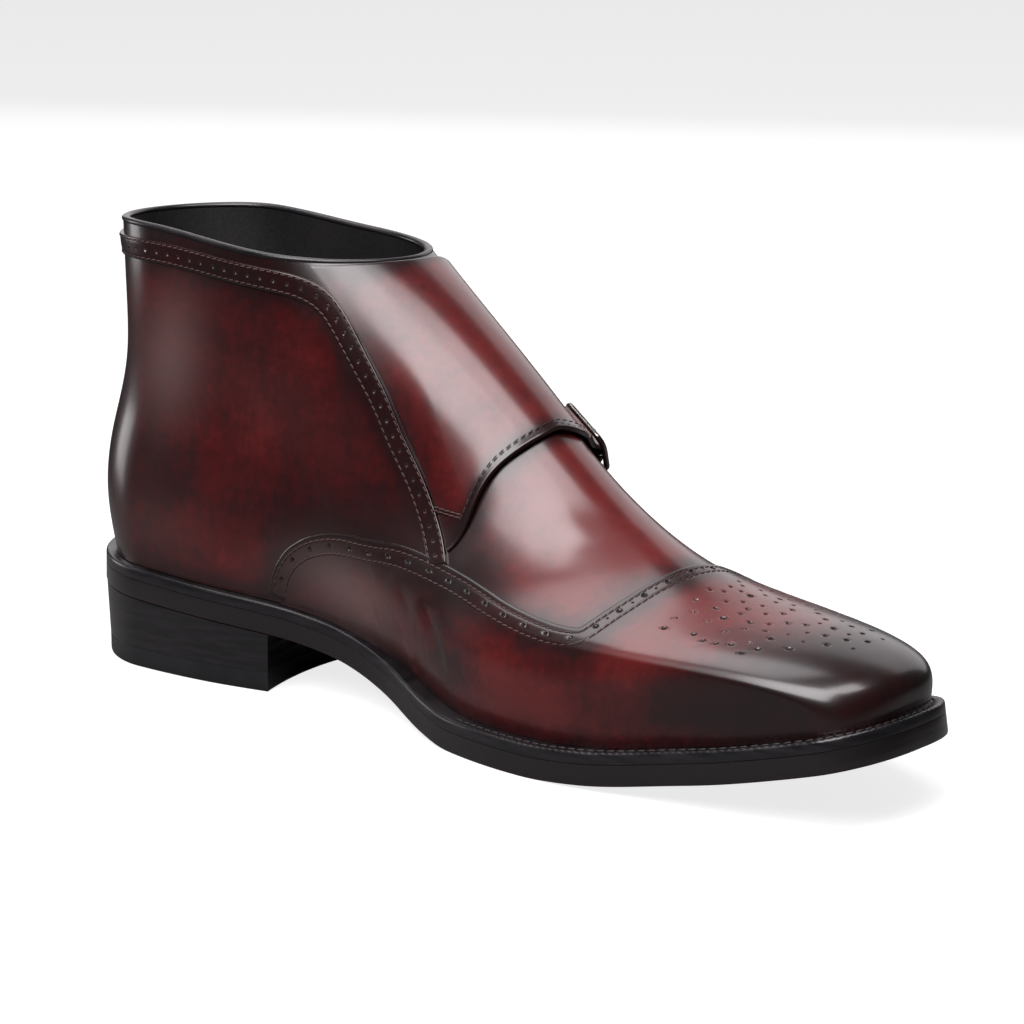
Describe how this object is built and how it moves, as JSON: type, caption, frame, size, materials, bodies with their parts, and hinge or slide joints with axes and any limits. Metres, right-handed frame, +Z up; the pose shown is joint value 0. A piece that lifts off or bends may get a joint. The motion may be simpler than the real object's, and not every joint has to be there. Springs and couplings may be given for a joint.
{
  "type": "boot",
  "caption": "Burgundy leather double monk strap ankle boot, left foot, with perforated wing band, medial flap, two buckled straps, stitched welt and stacked black heel.",
  "frame": {"origin": "the middle of the bounding box in X and Y, on the ground plane the heel and the forefoot stand on", "axes": "+X the lateral (outer) side with the buckles, -Y the toe, +Y the heel, +Z up"},
  "size_m": [0.1065, 0.3106, 0.1396],
  "materials": {
    "burgundy": "polished calf leather with a dark burnished patina",
    "dark_burgundy": "polished dark burgundy leather",
    "black_edge": "waxed black sole and heel edge",
    "black_rubber": "matte black heel lift",
    "tan_leather": "plain insole leather, dark under the sock",
    "dark_nickel": "dark nickel buckle metal"
  },
  "bodies": {
    "root": {"upper": "burgundy", "monk_flap": "burgundy", "strap_rear": "dark_burgundy", "strap_front": "dark_burgundy", "chape_rear": "dark_burgundy", "chape_front": "dark_burgundy", "buckle_rear": "dark_nickel", "buckle_front": "dark_nickel", "prong_rear": "dark_nickel", "prong_front": "dark_nickel", "insole": "tan_leather", "welt": "black_edge", "outsole": "dark_burgundy", "heel_stack": "black_edge", "top_lift": "black_rubber"}
  },
  "joints": []
}
